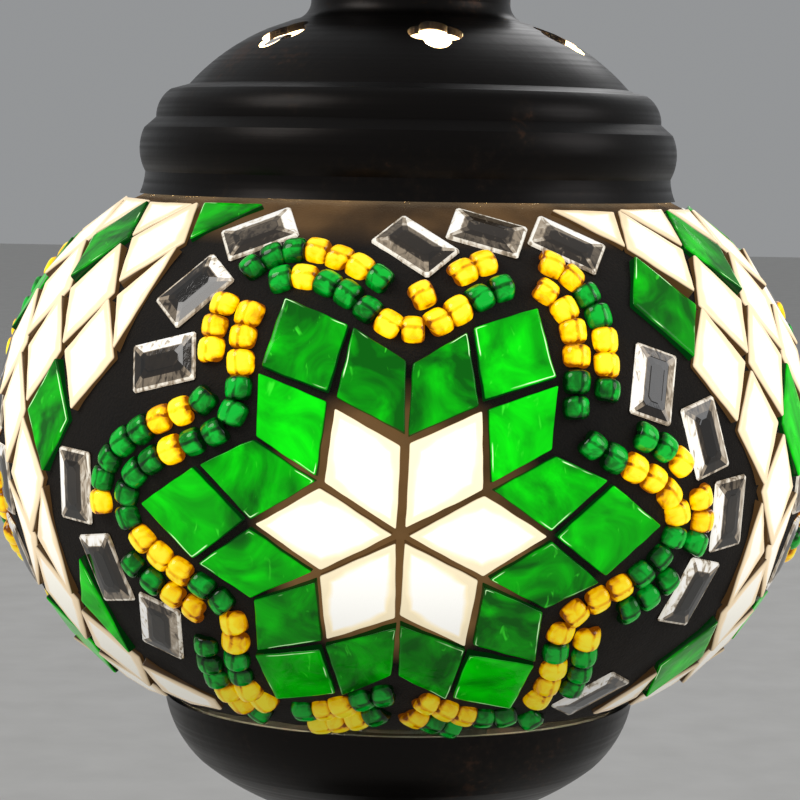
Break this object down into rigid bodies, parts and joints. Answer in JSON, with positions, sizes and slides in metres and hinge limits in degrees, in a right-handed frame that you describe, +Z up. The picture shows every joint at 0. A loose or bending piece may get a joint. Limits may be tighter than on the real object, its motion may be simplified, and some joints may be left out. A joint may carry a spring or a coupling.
{
  "type": "mosaic glass table lamp",
  "caption": "Pedestal table lamp: a glass globe covered in cut glass and beads, a bowl under it, and a pierced dome cap that lifts off.",
  "frame": {"origin": "centre of the felt underside, on the lamp's axis", "axes": "+Z up along the lamp's axis, -Y towards the front medallion, +X to its right seen from the front"},
  "size_m": [0.1286, 0.1272, 0.304],
  "materials": {
    "felt": "dark green felt",
    "ballast_iron": "raw cast iron",
    "dark_bronze": "spun metal in a nearly black bronze finish, semi-matt",
    "black_rubber": "moulded rubber",
    "zinc_steel": "zinc plated",
    "clear_glass": "blown clear glass",
    "grout": "dark brown grout, matt",
    "white_glass": "white opal glass, lit from behind",
    "cream_glass": "cream opal glass, lit from behind",
    "green_glass": "green cathedral glass, lit from behind",
    "jewel_glass": "clear moulded glass with bevelled edges",
    "amber_glass": "amber seed beads",
    "bead_green_glass": "clear green seed beads",
    "black_phenolic": "moulded phenolic",
    "white_ceramic": "unglazed ceramic",
    "brass": "plain brass",
    "nickel": "nickel plated screw cap",
    "black_insulator_glass": "black glass insulator",
    "solder": "solder",
    "bulb_glass": "clear bulb glass",
    "filament": "glowing wire"
  },
  "bodies": {
    "lamp": {"felt_pad": "felt", "ballast_disc": "ballast_iron", "foot_shell": "dark_bronze", "inlet_grommet": "black_rubber", "threaded_tube": "zinc_steel", "base_washer": "zinc_steel", "base_nut": "zinc_steel", "stem_bell": "dark_bronze", "stem_ring_lower": "dark_bronze", "stem_vase": "dark_bronze", "stem_ring_upper": "dark_bronze", "stem_trumpet": "dark_bronze", "lower_bowl": "dark_bronze", "bowl_spacer": "zinc_steel", "globe_cushion": "black_rubber", "inner_washer_rubber": "black_rubber", "inner_washer_steel": "zinc_steel", "globe_nut": "zinc_steel", "globe_glass": "clear_glass", "grout_bed": "grout", "star_pieces_white": "white_glass", "star_pieces_green": "green_glass", "divider_pieces_white": "cream_glass", "divider_pieces_green": "green_glass", "jewels_clear": "jewel_glass", "beads_amber": "amber_glass", "beads_green": "bead_green_glass", "holder_base": "black_phenolic", "holder_sleeve": "black_phenolic", "holder_insulator": "white_ceramic", "holder_shell": "brass", "centre_contact": "brass", "terminal_screws": "brass", "lip_gasket": "black_rubber"},
    "bulb": {"bulb_screw_cap": "nickel", "bulb_insulator": "black_insulator_glass", "bulb_contact": "solder", "bulb_glass": "bulb_glass", "bulb_stem": "bulb_glass", "bulb_filament": "filament"},
    "cap": {"cap_dome": "dark_bronze", "cap_seat_ring": "dark_bronze", "cap_washer": "zinc_steel", "cap_nut": "zinc_steel", "cap_nipple": "zinc_steel", "neck_collar": "dark_bronze", "crown_cap": "dark_bronze", "finial": "dark_bronze"}
  },
  "joints": [
    {"name": "cap_lift", "type": "slide", "parent": "lamp", "child": "cap", "axis": [0, 0, 1], "range_m": [0, 0.06]},
    {"name": "bulb_unscrew", "type": "slide", "parent": "lamp", "child": "bulb", "axis": [0, 0, 1], "range_m": [0, 0.024]}
  ]
}
